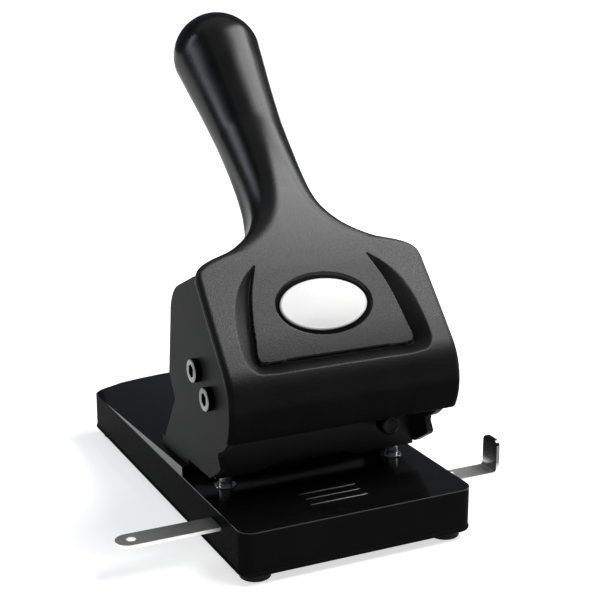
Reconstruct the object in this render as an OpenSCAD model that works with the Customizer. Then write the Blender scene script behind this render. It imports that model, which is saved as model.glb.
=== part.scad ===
// Heavy duty two-hole paper punch with a long lever, modelled closed and latched.
// Millimetres, +Z up, X to the right, -Y towards the user, floor at Z = 0.
// The pieces are drawn about the middle of the punch and set into the frame by in_frame().

/* [Base] */
// length of the base from front to back
base_l = 190; // [186:1:200]
// height of the rubber feet
foot_h = 4; // [3:0.5:5]
// height of the paper table above the lower edge of the skirt
skirt_h = 19; // [18:0.5:20]
// thickness of the pressed steel sheet
sheet_t = 1.5; // [1.2:0.1:1.8]
// radius of the upright corners of the base
corner_r = 6; // [4:0.5:8]

/* [Punch] */
// distance between the two holes
hole_pitch = 80; // [76:0.5:84]
// diameter of a punch pin
pin_d = 6; // [5.5:0.25:6.5]
// height of the paper throat
throat_h = 6.5; // [6:0.25:7]

/* [Side plates] */
// distance from the middle of a hole to the outer face of its side plate
pin_to_plate = 10; // [9.5:0.25:11]
// thickness of a side plate
plate_t = 3; // [2.8:0.1:3.2]
// width of the base outside a side plate
base_margin = 3; // [2.5:0.25:5]

/* [Lever] */
// width of the lever hood outside a side plate
hood_over = 2.2; // [1.6:0.1:2.6]
// outer radius of the rounded lower front of the hood
hood_r = 26.5; // [26:0.25:27.5]
// largest diameter of the handle
grip_d = 40.2; // [38:0.2:42]

/* [Paper guide] */
// width of the paper guide bar
bar_w = 11; // [10:0.5:12]
// height of the stop at the right end of the bar
stop_h = 16; // [12:1:18]

/* [Hidden] */
$fn = 64;
eps = 0.01;
// running clearance of a shaft in its hole
run = 0.05;
// clearance of a fixed piece in its seat
seat = 0.02;

plate_span = hole_pitch + 2 * pin_to_plate;
plate_out = plate_span / 2;
plate_in = plate_out - plate_t;
base_w = plate_span + 2 * base_margin;
hood_w = plate_span + 2 * hood_over;

table_z = foot_h + skirt_h;
front_y = -base_l / 2;
back_y = base_l / 2;
half_w = base_w / 2;

// raised rear deck, which falls towards the back
step_y = -30;
deck_slope = 2.65;
deck_back_z = table_z - 1.5;
bevel_x = half_w - 15;
bevel_rise = 2.9;
crown_rise = 4.8;
crown_r = 381;

// screw bosses and feet
boss_x = half_w - 9;
boss_y = base_l / 2 - 9;
boss_r = 5;
foot_r = 6.5;

// chip tray, which stops short of the guide's straps
tray_h = 9.4;
tray_t = 1.5;

// label on the table, from the left and from the front edge
label_x = [-17, 10];
label_y = [12.5, 27];
label_t = 0.15;

// pin line and lever pivot, as [y, z] where two values are given
pin_y = -46.5;
pin_r = pin_d / 2;
pin_x = hole_pitch / 2;
pivot = [-56.8, 66.4];
block_screw = [-43.3, 74.5];

// pin drive: a rod on the lever, behind the pivot, rests on the pin carrier
rod_arm = 12;
rod_angle = -16;
rod_r = 3.2;
rod_half = 30;
rod = [pivot[0] + rod_arm * cos(rod_angle), pivot[1] + rod_arm * sin(rod_angle)];

// side plates, each with two tabs through the deck and a slot for the block's tenon
plate_nose_r = 22;
plate_edge_angle = 46;
plate_back = [-29.6, 90.1];
plate_back_r = 17;
tab_y = [-24, -6];
tab_l = 8;
tab_root = 8;
tenon_l = 1;
tenon_low = [-52, 33];
tenon_high = [-41, 40];

// guide block with its bores, spring pockets and rear posts
block_z0 = table_z + throat_h;
block_z1 = 46;
block_y0 = -53.5;
block_y1 = -39.5;
pocket_z = 38;
pocket_r = 5.4;
post_x = plate_in - 13.4;
post_y0 = -41;
post_y1 = -37.3;
lug_r = 5.8;

// pin carrier, closed
car_z0 = 52;
car_z1 = rod[1] - rod_r - 0.32;
car_y0 = -50.3;
car_y1 = -41.5;
car_x = plate_in - 2;
pin_tip_z = table_z - 1.3;
socket_z = 55.5;
bridge_y = -45;
bridge_z = 55.2;
screw_seat_z = car_z1 - 3;

// latch knob, its pin and the hook that the pin holds down
lock_x = pin_x - 10.5;
lock_z = 44.5;
lock_boss_r = 6;
lock_pin_r = 2.5;
hook_gap = 0.4;
hook_w = 3.5;
hook_t = 2.5;
toe_t = 1.9;
hook_y = -38.6;
knob_r = 4.5;
knob_y0 = -65;
knob_y1 = -57.9;

// lever hubs
hub_x0 = 12;
hub_x1 = 22;
hub_r = 10;
bush_r = 6.6;
shaft_r = 5;
m6_r = 3;
head_r = 5;
head_h = 3.2;
hex_r = 2.9;
hex_depth = 2;
screw_reach = 14;

// lever hood
hood_t = 3.5;
hood_x = hood_w / 2;
panel_angle = 48;
hood_a0 = 90 + panel_angle;
hood_a1 = 208;
panel_len = 48.5;
panel_corner = 12;
panel_foot = [pivot[0] + hood_r * cos(hood_a0), pivot[1] + hood_r * sin(hood_a0)];
panel_top_z = 106.7;
pad_t = 4;
pad_x = plate_in - 1.5;
pad_len = 42;
pad_low = 7;
rib_top = [-50.8, panel_top_z];
rib_back = [-50, 74];
field_v = 46;
field_tilt = 3.9;
groove_depth = 1.6;
recess_depth = 1.2;
recess_size = [42, 26.5];
badge_size = [39.5, 22.6];
badge_t = 0.8;
badge_v = 24;

// handle axis, from the neck to the middle of the round end, as [y, z]
neck = [-15.1, 132];
grip_end = [51.6, 191.5];
grip_len = norm(grip_end - neck);
grip_angle = atan2(grip_end[1] - neck[1], grip_end[0] - neck[0]);
grip_r = grip_d / 2;
blend_foot = [-51, 109.5];
blend_past = 40;
blend_angle = atan2(neck[1] - blend_foot[1], neck[0] - blend_foot[0]);
blend_len = norm(neck - blend_foot) + blend_past;

// paper guide bar
bar_y = -67;
bar_z = table_z - 7.5;
bar_t = 1.5;
bar_x0 = -95.5;
bar_x1 = 80.3;
bar_bend_r = 2.8;
stop_corner = 3;
rivet_x = half_w + 6.3;
clip_x = 30;
clip_w = 8;

// the frame's origin is below the middle of the whole, guide bar included
mid_x = -(bar_x0 + bar_x1) / 2;

// a point at radius r and angle a round the lever pivot
function round_pivot(r, a) = [pivot[0] + r * cos(a), pivot[1] + r * sin(a)];

// moves a finished piece from the middle of the punch to its place in the frame
module in_frame() {
    translate([mid_x, 0, 0])
        children();
}

// an outline drawn in [y, z], made solid from x0 to x1
module across(x0, x1) {
    translate([x0, 0, 0])
        rotate([90, 0, 90])
            linear_extrude(x1 - x0)
                children();
}

// an outline drawn in [x, z], made solid from y0 to y1
module along_y(y0, y1) {
    translate([0, y1, 0])
        rotate([90, 0, 0])
            linear_extrude(y1 - y0)
                children();
}

// a box given by its low and high corners
module span(low, high) {
    translate(low)
        cube(high - low);
}

// a round bar along X, centred at p = [y, z]
module bar_x(p, r, x0, x1) {
    translate([x0, p[0], p[1]])
        rotate([0, 90, 0])
            cylinder(r = r, h = x1 - x0);
}

// a round bar along Y
module bar_y(x, z, r, y0, y1) {
    translate([x, y1, z])
        rotate([90, 0, 0])
            cylinder(r = r, h = y1 - y0);
}

// the same thing on both sides of the punch
module both_sides() {
    children();
    mirror([1, 0, 0])
        children();
}

module rounded_rect(w, l, r) {
    square([w - 2 * r, l], center = true);
    square([w, l - 2 * r], center = true);
    for (x = [-1, 1], y = [-1, 1])
        translate([x * (w / 2 - r), y * (l / 2 - r)])
            circle(r = r);
}

// cross-section of the deck: bevelled sides and a slightly crowned top
module deck_section() {
    intersection() {
        polygon([[-half_w - 5, -40], [-half_w - 5, -5 * bevel_rise / 15], [-bevel_x, bevel_rise],
            [-bevel_x, 8], [bevel_x, 8], [bevel_x, bevel_rise],
            [half_w + 5, -5 * bevel_rise / 15], [half_w + 5, -40]]);
        translate([0, crown_rise - crown_r])
            circle(r = crown_r);
    }
}

// the space taken up by the base, drawn in by the given amount
module base_volume(inset) {
    difference() {
        translate([0, 0, foot_h - inset])
            linear_extrude(skirt_h)
                rounded_rect(base_w - 2 * inset, base_l - 2 * inset, corner_r - inset);
        span([-base_w, step_y + 5, 0], [base_w, base_l, 60]);
    }
    intersection() {
        translate([0, 0, foot_h - inset])
            linear_extrude(40)
                rounded_rect(base_w - 2 * inset, base_l - 2 * inset, corner_r - inset);
        translate([0, back_y + 5, deck_back_z - 5 * tan(deck_slope) - inset])
            rotate([90 - deck_slope, 0, 0])
                linear_extrude(base_l)
                    deck_section();
        span([-base_w, step_y + inset, 0], [base_w, base_l, 60]);
    }
}

module base_shell() {
    color([0.05, 0.05, 0.055]) in_frame()
        difference() {
            union() {
                difference() {
                    base_volume(0);
                    base_volume(sheet_t);
                }
                intersection() {
                    base_volume(0.3);
                    for (x = [-boss_x, boss_x], y = [-boss_y, boss_y])
                        translate([x, y, 0])
                            cylinder(r = boss_r, h = 60);
                }
            }
            for (x = [-boss_x, boss_x], y = [-boss_y, boss_y])
                translate([x, y, 0])
                    cylinder(r = 1.5 + seat, h = foot_h + 8);
            for (x = [-boss_x, boss_x], y = [-boss_y, boss_y])
                translate([x, y, -eps])
                    cylinder(r = boss_r + 1, h = foot_h + eps);
            for (x = [-pin_x, pin_x])
                translate([x, pin_y, table_z - 5])
                    cylinder(r = 4.2 + seat, h = 10);
            both_sides()
                for (y = tab_y)
                    span([plate_in + 0.1, y - 0.1, deck_back_z - 3],
                        [plate_out - 0.1, y + tab_l + 0.1, table_z + 10]);
            span([-base_w, bar_y - bar_w / 2 - 0.3, bar_z - 0.3],
                [base_w, bar_y + bar_w / 2 + 0.3, bar_z + bar_t + 0.3]);
        }
}

// outline of the tray, notched at the corners to pass the feet
module tray_outline(inset) {
    w = base_w - 2 * sheet_t - 0.8 - 2 * inset;
    l = base_l - 2 * sheet_t - 0.8 - 2 * inset;
    notch = 15.5;
    difference() {
        square([w, l], center = true);
        for (x = [-1, 1], y = [-1, 1])
            translate([x * base_w / 2, y * base_l / 2])
                square(2 * (notch + 2 + inset), center = true);
    }
}

module chip_tray() {
    color([0.06, 0.06, 0.065]) in_frame()
        difference() {
            translate([0, 0, foot_h + 0.2])
                linear_extrude(tray_h)
                    tray_outline(0);
            translate([0, 0, foot_h + 0.2 + tray_t])
                linear_extrude(20)
                    tray_outline(tray_t);
        }
}

module rubber_feet() {
    color([0.03, 0.03, 0.03]) in_frame()
        for (x = [-boss_x, boss_x], y = [-boss_y, boss_y])
            translate([x, y, 0])
                difference() {
                    cylinder(r = foot_r, h = foot_h);
                    translate([0, 0, -eps])
                        cylinder(r = 3, h = foot_h - 1.4 + 2 * eps);
                    cylinder(r = 1.6, h = foot_h + 1);
                }
}

module foot_screws() {
    color([0.6, 0.6, 0.62]) in_frame()
        for (x = [-boss_x, boss_x], y = [-boss_y, boss_y])
            translate([x, y, foot_h - 1.4])
                difference() {
                    union() {
                        translate([0, 0, -1.8])
                            cylinder(r = 2.75, h = 1.8);
                        cylinder(r = 1.5, h = 9);
                    }
                    translate([-3, -0.4, -1.9])
                        cube([6, 0.8, 0.8]);
                }
}

// hardened bushes in the table, under the pins
module die_bushes() {
    color([0.72, 0.72, 0.73]) in_frame()
        for (x = [-pin_x, pin_x])
            translate([x, pin_y, table_z])
                difference() {
                    union() {
                        cylinder(r = 4.75, h = 0.5);
                        translate([0, 0, -6])
                            cylinder(r = 4.2, h = 6);
                    }
                    translate([0, 0, -7])
                        cylinder(r = pin_r + 0.08, h = 9);
                }
}

module table_label() {
    color([0.2, 0.2, 0.21]) in_frame()
        span([label_x[0], front_y + label_y[0], table_z],
            [label_x[1], front_y + label_y[1], table_z + label_t]);
}

// side plate seen from the side, as [y, z]
module plate_outline() {
    edge = round_pivot(plate_nose_r - 0.3, 90 + plate_edge_angle);
    difference() {
        union() {
            translate(pivot)
                circle(r = plate_nose_r);
            translate(plate_back)
                circle(r = plate_back_r);
            polygon([[3.5, table_z], [-16, 53.3], [-9.2, 63.5], [-12.6, 90.1], [-22.8, 105.7], [-45.7, 115.8],
                [-72.6, 82.4],
                [-63.5, 43.4], [-65.9, 39.2], [-64.8, 37.6], [-60.8, 35], [-54.7, table_z + 8.1],
                [-29.8, table_z + 7.3], [-29.8, table_z]]);
        }
        translate(edge)
            rotate(plate_edge_angle)
                translate([-2 * plate_nose_r, 0])
                    square(6 * plate_nose_r);
    }
}

module right_plate_shape() {
    difference() {
        across(plate_in, plate_out)
            plate_outline();
        base_volume(0);
        bar_x(pivot, m6_r + 0.2, plate_in - 1, plate_out + 1);
        bar_x(block_screw, m6_r + 0.2, plate_in - 1, plate_out + 1);
        span([plate_in - 1, tenon_low[0] - seat, tenon_low[1] - seat],
            [plate_in + tenon_l + seat, tenon_high[0] + seat, tenon_high[1] + seat]);
    }
    for (y = tab_y)
        span([plate_in + 0.2, y, deck_back_z + 0.5],
            [plate_out - 0.2, y + tab_l, table_z + tab_root]);
}

module left_side_plate() {
    color([0.06, 0.06, 0.065]) in_frame()
        mirror([1, 0, 0])
            right_plate_shape();
}

module right_side_plate() {
    color([0.06, 0.06, 0.065]) in_frame()
        right_plate_shape();
}

// fixed block that guides the pins, with two posts that take the rear screws
module guide_block() {
    color([0.05, 0.05, 0.055]) in_frame()
        difference() {
            union() {
                span([-plate_in, block_y0, block_z0], [plate_in, block_y1, block_z1]);
                span([-plate_in - tenon_l, tenon_low[0], tenon_low[1]],
                    [plate_in + tenon_l, tenon_high[0], tenon_high[1]]);
                both_sides() {
                    span([post_x, post_y0, block_z1 - 6], [plate_in, post_y1, block_screw[1]]);
                    bar_x(block_screw, lug_r, post_x, plate_in);
                }
                bar_y(lock_x, lock_z, lock_boss_r, block_y0, block_y1);
            }
            both_sides() {
                translate([pin_x, pin_y, block_z0 - 1])
                    cylinder(r = pin_r + 0.08, h = 30);
                translate([pin_x, pin_y, pocket_z])
                    cylinder(r = pocket_r, h = 13);
                bar_x(block_screw, m6_r + seat, post_x - 1, plate_in + 1);
            }
            bar_y(lock_x, lock_z, lock_pin_r + run, block_y0 - 1, block_y1 + 1);
            bar_y(-4, block_z0 - 66, 70, block_y0 - 1, block_y0 + 4);
        }
}

module pivot_shaft() {
    color([0.7, 0.7, 0.72]) in_frame()
        difference() {
            bar_x(pivot, shaft_r, -plate_in, plate_in);
            both_sides()
                bar_x(pivot, m6_r + seat, plate_in - screw_reach, plate_in + 1);
        }
}

// low-headed socket screw pointing into the right side plate
module socket_screw(p) {
    difference() {
        union() {
            bar_x(p, head_r, plate_out, plate_out + head_h);
            bar_x(p, m6_r, plate_out - screw_reach, plate_out);
        }
        translate([plate_out + head_h - hex_depth, p[0], p[1]])
            rotate([0, 90, 0])
                cylinder(r = hex_r, h = head_h, $fn = 6);
    }
}

module pivot_screws() {
    color([0.75, 0.75, 0.76]) in_frame()
        both_sides()
            socket_screw(pivot);
}

module block_screws() {
    color([0.75, 0.75, 0.76]) in_frame()
        both_sides()
            socket_screw(block_screw);
}

// outlines on the hood's sloping face, as [x, distance up the face]
groove_outer = [[33, -4.3], [39, -3.2], [42, 0.5], [42.8, 8], [42.3, 16], [40.6, 25], [36.9, 33.5],
    [31.5, 40], [25.5, 44.5]];
groove_inner = [[35.2, 2.5], [34.4, 11], [32.6, 23], [29.6, 34], [27.4, 39.5], [25.5, 44.5], [24, 60]];
function mirrored(half) = concat(half, [for (i = [len(half) - 1:-1:0]) [-half[i][0], half[i][1]]]);
function oval(size) = [for (a = [0:7.5:359]) [size[0] / 2 * cos(a), size[1] / 2 * sin(a)]];

// places a shape on the sloping face of the hood, with Z along the face's outward normal
module on_panel() {
    translate([0, panel_foot[0], panel_foot[1]])
        rotate([panel_angle, 0, 0])
            children();
}

// places a shape on the field inside the groove, which sinks towards its lower edge
module on_field() {
    on_panel()
        translate([0, field_v, 0])
            rotate([field_tilt, 0, 0])
                translate([0, -field_v, 0])
                    children();
}

// curved wall of the hood round the pivot, from angle a0 to a1
module hood_wall(a0, a1) {
    far = 2 * hood_r;
    mid = (a0 + a1) / 2;
    intersection() {
        difference() {
            translate(pivot)
                circle(r = hood_r);
            translate(pivot)
                circle(r = hood_r - hood_t);
        }
        polygon([pivot, round_pivot(far, a0), round_pivot(far, mid), round_pivot(far, a1)]);
    }
}

// flat front of the hood with its rounded shoulders, as [x, distance up the face]
module panel_outline() {
    side = hood_x - panel_corner;
    translate([-hood_x, 0])
        square([hood_w, panel_len - panel_corner]);
    translate([-side, 0])
        square([2 * side, panel_len]);
    for (x = [-side, side])
        translate([x, panel_len - panel_corner])
            circle(r = panel_corner);
}

// rib with its hub on the pivot and the arm that carries the drive rod
module hub_rib() {
    inside = hood_r - hood_t / 2;
    across_arm = [-sin(rod_angle), cos(rod_angle)];
    translate(pivot)
        circle(r = hub_r);
    translate(rod)
        circle(r = 6.5);
    polygon([pivot + 8.5 * across_arm, rod + 6 * across_arm, rod - 6 * across_arm,
        pivot - 8.5 * across_arm]);
    polygon([pivot, round_pivot(inside, 202), round_pivot(inside, 165), round_pivot(inside, 141),
        rib_top, rib_back]);
}

// shoulder between the flat hood and the round handle: widths shrink and thicknesses grow along it
blend_steps = 20;
blend_sides = 40;
blend_x = pad_x - 0.6;
blend_end_r = 15.7;
neck_t = 1 - blend_past / blend_len;
function ease_out(t) = 1 - (1 - t) * (1 - t);
function blend_half_w(t) = blend_end_r + (blend_x - blend_end_r) / (1 + pow(t / (0.45 * neck_t), 4));
function blend_top(t) = 1.4 + (blend_end_r - 1.4) * ease_out(t);
function blend_under(t) = 3.4 + (blend_end_r - 3.4) * ease_out(min(1, t / neck_t));
function blend_power(t) = 2 + 4 * pow(1 - t, 2);
function signed_pow(c, p) = sign(c) * pow(abs(c), p);
function way(a) = [cos(a), sin(a)];
function bend(t) = min(1, max(0, (t - neck_t) / 0.3 + 0.5));
function blend_tilt(t) = blend_angle + (grip_angle - blend_angle) * bend(t);
function blend_mid(t) = neck + (t - neck_t) * blend_len * way(t < neck_t ? blend_angle : grip_angle);
function beside(t, x, down) = let (m = blend_mid(t), a = blend_tilt(t))
    [x, m[0] + down * sin(a), m[1] - down * cos(a)];
function blend_ring(t) = [for (k = [0:blend_sides - 1])
    let (a = 360 * k / blend_sides, p = 2 / blend_power(t), s = signed_pow(sin(a), p))
    beside(t, blend_half_w(t) * signed_pow(cos(a), p), s * (s > 0 ? blend_under(t) : blend_top(t)))];
function last_ring() = [for (k = [0:blend_sides - 1])
    let (a = 360 * k / blend_sides, r = blend_end_r - 0.8)
    beside(1 + 5 / blend_len, r * cos(a), r * sin(a))];

module hood_blend() {
    rings = concat([for (i = [0:blend_steps]) blend_ring(i / blend_steps)], [last_ring()]);
    n = blend_sides;
    m = blend_steps + 1;
    points = [for (ring = rings, p = ring) p];
    walls = [for (i = [0:m - 1], k = [0:n - 1])
        [i * n + k, (i + 1) * n + k, (i + 1) * n + (k + 1) % n, i * n + (k + 1) % n]];
    ends = [[for (k = [0:n - 1]) k], [for (k = [n - 1:-1:0]) m * n + k]];
    polyhedron(points, concat(walls, ends), convexity = 4);
}

// radius of the handle at a distance from the neck
grip_profile = [[blend_past - 10, 15], [blend_past, 15.5], [52, 16.4], [62, 17.25],
    [68, 17.85], [74, 18.5], [80, 19.1], [85, 19.6]];

module handle() {
    tip = [for (a = [0:7.5:82.5]) [grip_r * cos(a), grip_len + grip_r * sin(a)]];
    side = [for (p = grip_profile) [p[1], p[0]]];
    translate([0, neck[0], neck[1]])
        rotate([grip_angle - 90, 0, 0])
            rotate_extrude()
                polygon(concat([[0, side[0][1]]], side, tip, [[0, grip_len + grip_r]]));
}

module lever_casting() {
    color([0.07, 0.07, 0.075]) in_frame()
        difference() {
            union() {
                across(-hood_x, hood_x)
                    hood_wall(hood_a0, hood_a1);
                on_panel() {
                    translate([0, 0, -hood_t])
                        linear_extrude(hood_t)
                            panel_outline();
                    span([-pad_x, -pad_low, -hood_t - pad_t], [pad_x, pad_len, -hood_t + 0.5]);
                }
                both_sides()
                    across(hub_x0, hub_x1)
                        hub_rib();
                hood_blend();
                handle();
            }
            both_sides() {
                bar_x(pivot, bush_r + seat, hub_x0 - 1, hub_x1 + 1);
                bar_x(rod, rod_r + seat, hub_x0 - 1, hub_x1 + 1);
            }
            on_field() {
                linear_extrude(12)
                    polygon(mirrored(groove_outer));
                translate([0, 0, -groove_depth])
                    linear_extrude(8)
                        difference() {
                            polygon(mirrored(groove_outer));
                            polygon(mirrored(groove_inner));
                        }
                translate([0, badge_v, -recess_depth])
                    linear_extrude(8)
                        polygon(oval(recess_size));
            }
        }
}

module lever_bushes() {
    color([0.72, 0.55, 0.28]) in_frame()
        both_sides()
            difference() {
                bar_x(pivot, bush_r, hub_x0, hub_x1);
                bar_x(pivot, shaft_r + run, hub_x0 - 1, hub_x1 + 1);
            }
}

module drive_rod() {
    color([0.7, 0.7, 0.72]) in_frame()
        bar_x(rod, rod_r, -rod_half, rod_half);
}

module badge() {
    color([0.9, 0.9, 0.88]) in_frame()
        on_field()
            translate([0, badge_v, -recess_depth])
                linear_extrude(badge_t)
                    polygon(oval(badge_size));
}

// bar that carries both pins, with a hook behind the block that the latch pin holds down
module pin_carrier() {
    hook_x0 = lock_x - lock_pin_r - hook_gap - hook_w;
    hook_x1 = lock_x + hook_w;
    hook_back = hook_y + hook_t;
    toe_z1 = lock_z - lock_pin_r - hook_gap;
    toe_z0 = toe_z1 - toe_t;
    color([0.5, 0.5, 0.52]) in_frame()
        difference() {
            union() {
                span([-car_x, car_y0, car_z0], [car_x, car_y1, car_z1]);
                span([hook_x0, car_y1 - 1, car_z0], [hook_x0 + hook_w, hook_back, car_z1]);
                span([hook_x0, hook_y, toe_z0], [hook_x0 + hook_w, hook_back, car_z1]);
                span([hook_x0, hook_y, toe_z0], [hook_x1, hook_back, toe_z1]);
            }
            both_sides() {
                span([hub_x0 - 0.6, car_y0 - 1, car_z0 - 1], [hub_x1 + 0.6, bridge_y, car_z1 + 1]);
                span([hub_x0 - 0.6, car_y0 - 1, bridge_z], [hub_x1 + 0.6, car_y1 + 1, car_z1 + 1]);
                translate([pin_x, pin_y, car_z0 - 1])
                    cylinder(r = pin_r + seat, h = socket_z - car_z0 + 1);
                translate([pin_x, pin_y, car_z0])
                    cylinder(r = 2 + seat, h = 20);
                translate([pin_x, pin_y, screw_seat_z])
                    cylinder(r = 3.7, h = 10);
            }
        }
}

module punch_pins() {
    color([0.8, 0.8, 0.81]) in_frame()
        for (x = [-pin_x, pin_x])
            translate([x, pin_y, 0])
                difference() {
                    translate([0, 0, pin_tip_z])
                        cylinder(r = pin_r, h = socket_z - pin_tip_z);
                    translate([0, 0, 46])
                        cylinder(r = 2 + seat, h = 20);
                    translate([0, 0, pin_tip_z])
                        rotate([0, 90, 0])
                            cylinder(r = 1, h = 20, center = true);
                }
}

module pin_screws() {
    color([0.6, 0.6, 0.62]) in_frame()
        for (x = [-pin_x, pin_x])
            translate([x, pin_y, screw_seat_z])
                difference() {
                    union() {
                        cylinder(r = 3.5, h = 2.8);
                        translate([0, 0, -8])
                            cylinder(r = 2, h = 8);
                    }
                    translate([0, 0, 1])
                        cylinder(r = 1.7, h = 3, $fn = 6);
                }
}

// compression spring round each pin, one tube along a helix
spring_turns = 6;
spring_wire_r = 0.55;
spring_r = 4.4;
ring_count = 8 * spring_turns;
spring_len = car_z0 - pocket_z;
spring_pitch = (spring_len - 2 * spring_wire_r) / spring_turns;
spring_gap = spring_pitch - 2 * spring_wire_r;

module spring_tube() {
    echo(least_gap_between_turns = spring_gap);
    points = [for (i = [0:ring_count], k = [0:5])
        let (turn = 45 * i, a = 60 * k, out = spring_r + spring_wire_r * cos(a))
        [out * cos(turn), out * sin(turn),
            spring_wire_r + spring_pitch * i / 8 + spring_wire_r * sin(a) * 0.99]];
    walls = [for (i = [0:ring_count - 1], k = [0:5])
        [6 * i + k, 6 * i + (k + 1) % 6, 6 * (i + 1) + (k + 1) % 6, 6 * (i + 1) + k]];
    ends = [[for (k = [5:-1:0]) k], [for (k = [0:5]) 6 * ring_count + k]];
    polyhedron(points, concat(walls, ends), convexity = 10);
}

module return_springs() {
    color([0.66, 0.66, 0.68]) in_frame()
        for (x = [-pin_x, pin_x])
            translate([x, pin_y, pocket_z])
                spring_tube();
}

// sliding bar with a rounded left end and a bent-up stop
module paper_guide() {
    bend_x = bar_x1 - bar_bend_r;
    bend_z = bar_z + bar_bend_r;
    upright = stop_h - bar_bend_r;
    color([0.74, 0.74, 0.73]) in_frame()
        difference() {
            union() {
                translate([0, bar_y, bar_z])
                    linear_extrude(bar_t) {
                        translate([bar_x0 + bar_w / 2, -bar_w / 2])
                            square([bend_x - bar_x0 - bar_w / 2, bar_w]);
                        translate([bar_x0 + bar_w / 2, 0])
                            circle(r = bar_w / 2);
                    }
                along_y(bar_y - bar_w / 2, bar_y + bar_w / 2)
                    translate([bend_x, bend_z])
                        intersection() {
                            difference() {
                                circle(r = bar_bend_r);
                                circle(r = bar_bend_r - bar_t);
                            }
                            translate([0, -2 * bar_bend_r])
                                square(2 * bar_bend_r);
                        }
                across(bar_x1 - bar_t, bar_x1)
                    translate([bar_y, bend_z]) {
                        translate([-bar_w / 2, 0])
                            square([bar_w, upright - stop_corner]);
                        translate([-bar_w / 2 + stop_corner, 0])
                            square([bar_w - 2 * stop_corner, upright]);
                        for (y = [-1, 1])
                            translate([y * (bar_w / 2 - stop_corner), upright - stop_corner])
                                circle(r = stop_corner);
                    }
            }
            translate([bar_x0 + 6.5, bar_y, bar_z - 1])
                cylinder(r = 2, h = 4);
        }
}

module guide_rivet() {
    color([0.8, 0.8, 0.8]) in_frame()
        translate([rivet_x, bar_y + 1.5, bar_z + bar_t])
            rotate_extrude()
                polygon([[0, 0], [1.8, 0], [1.6, 0.7], [0.9, 1.2], [0, 1.3]]);
}

// straps under the table that carry the paper guide bar
module guide_clips() {
    leg = bar_w / 2 + 0.4;
    color([0.55, 0.55, 0.57]) in_frame()
        for (x = [-clip_x, clip_x])
            across(x - clip_w / 2, x + clip_w / 2)
                translate([bar_y, 0])
                    difference() {
                        translate([-leg - 1.2, bar_z - 1.5])
                            square([2 * leg + 2.4, table_z - sheet_t - bar_z + 1.5]);
                        translate([-leg, bar_z - 0.3])
                            square([2 * leg, 20]);
                    }
}

module lock_pin() {
    color([0.7, 0.7, 0.72]) in_frame()
        bar_y(lock_x, lock_z, lock_pin_r, knob_y0 + 2, block_y1 + 0.1);
}

module lock_knob() {
    color([0.12, 0.12, 0.125]) in_frame()
        difference() {
            bar_y(lock_x, lock_z, knob_r, knob_y0, knob_y1);
            bar_y(lock_x, lock_z, lock_pin_r + seat, knob_y0 + 2, knob_y1 + 1);
        }
}

base_shell();
chip_tray();
rubber_feet();
foot_screws();
die_bushes();
table_label();
left_side_plate();
right_side_plate();
guide_block();
pivot_shaft();
pivot_screws();
block_screws();
lever_casting();
lever_bushes();
drive_rod();
badge();
pin_carrier();
punch_pins();
pin_screws();
return_springs();
paper_guide();
guide_rivet();
guide_clips();
lock_pin();
lock_knob();
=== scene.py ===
"""A heavy duty two-hole paper punch, closed, on a plain white studio floor. Metres."""

import bpy
import bmesh
import numpy as np
from mathutils import Matrix, Vector


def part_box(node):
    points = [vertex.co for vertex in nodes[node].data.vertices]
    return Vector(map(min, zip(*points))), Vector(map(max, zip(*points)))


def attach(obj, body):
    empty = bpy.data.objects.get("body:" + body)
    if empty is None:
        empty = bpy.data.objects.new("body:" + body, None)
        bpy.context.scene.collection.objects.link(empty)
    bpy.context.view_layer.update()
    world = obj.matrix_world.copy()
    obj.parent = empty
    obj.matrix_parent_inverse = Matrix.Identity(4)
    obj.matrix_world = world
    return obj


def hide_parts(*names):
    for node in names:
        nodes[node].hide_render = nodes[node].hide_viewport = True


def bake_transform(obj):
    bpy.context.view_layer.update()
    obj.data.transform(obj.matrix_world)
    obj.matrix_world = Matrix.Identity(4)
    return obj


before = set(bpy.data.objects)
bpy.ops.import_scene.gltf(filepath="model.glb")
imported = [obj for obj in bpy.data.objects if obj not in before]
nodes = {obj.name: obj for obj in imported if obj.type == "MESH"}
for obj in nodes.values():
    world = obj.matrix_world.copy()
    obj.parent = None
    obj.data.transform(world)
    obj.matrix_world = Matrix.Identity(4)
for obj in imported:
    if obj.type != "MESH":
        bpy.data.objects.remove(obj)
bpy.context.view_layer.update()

# The base is one pressed steel sheet: paper table in front, a slightly crowned deck behind,
# skirts folded down all round, and gloss black stoving enamel over the whole.
# Its edges are eased by the press, and the skirt's foot is turned out into a thin bead.
MM = 0.001
base_low, base_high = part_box("base_shell")
punch_x = (base_low.x + base_high.x) / 2


def eased(node, width, segments=3):
    """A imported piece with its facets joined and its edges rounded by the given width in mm, or left
    crisp where the width is 0. An edge is where faces meet by more than 32 degrees."""
    edge_angle = np.radians(32)
    piece = nodes[node]
    weld = piece.modifiers.new("join facets", "WELD")
    weld.merge_threshold = 2e-6
    piece.data.shade_smooth()
    if not width:
        crisp = piece.modifiers.new("crisp edges", "EDGE_SPLIT")
        crisp.split_angle = edge_angle
        return piece
    flat = piece.modifiers.new("whole faces", "DECIMATE")
    flat.decimate_type = "DISSOLVE"
    flat.angle_limit = np.radians(0.6)
    edge = piece.modifiers.new("eased edges", "BEVEL")
    edge.width = width * MM
    edge.segments = segments
    edge.limit_method = "ANGLE"
    edge.angle_limit = edge_angle
    edge.use_clamp_overlap = True
    flats = piece.modifiers.new("flat faces stay flat", "WEIGHTED_NORMAL")
    flats.weight = 100
    flats.keep_sharp = True
    return piece


def finish(name):
    """A new finish: its material, node tree, main shader and the piece's own coordinates."""
    material = bpy.data.materials.new(name)
    material.use_nodes = True
    tree = material.node_tree
    shader = tree.nodes["Principled BSDF"]
    place = tree.nodes.new("ShaderNodeTexCoord").outputs["Object"]
    return material, tree, shader, place


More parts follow.
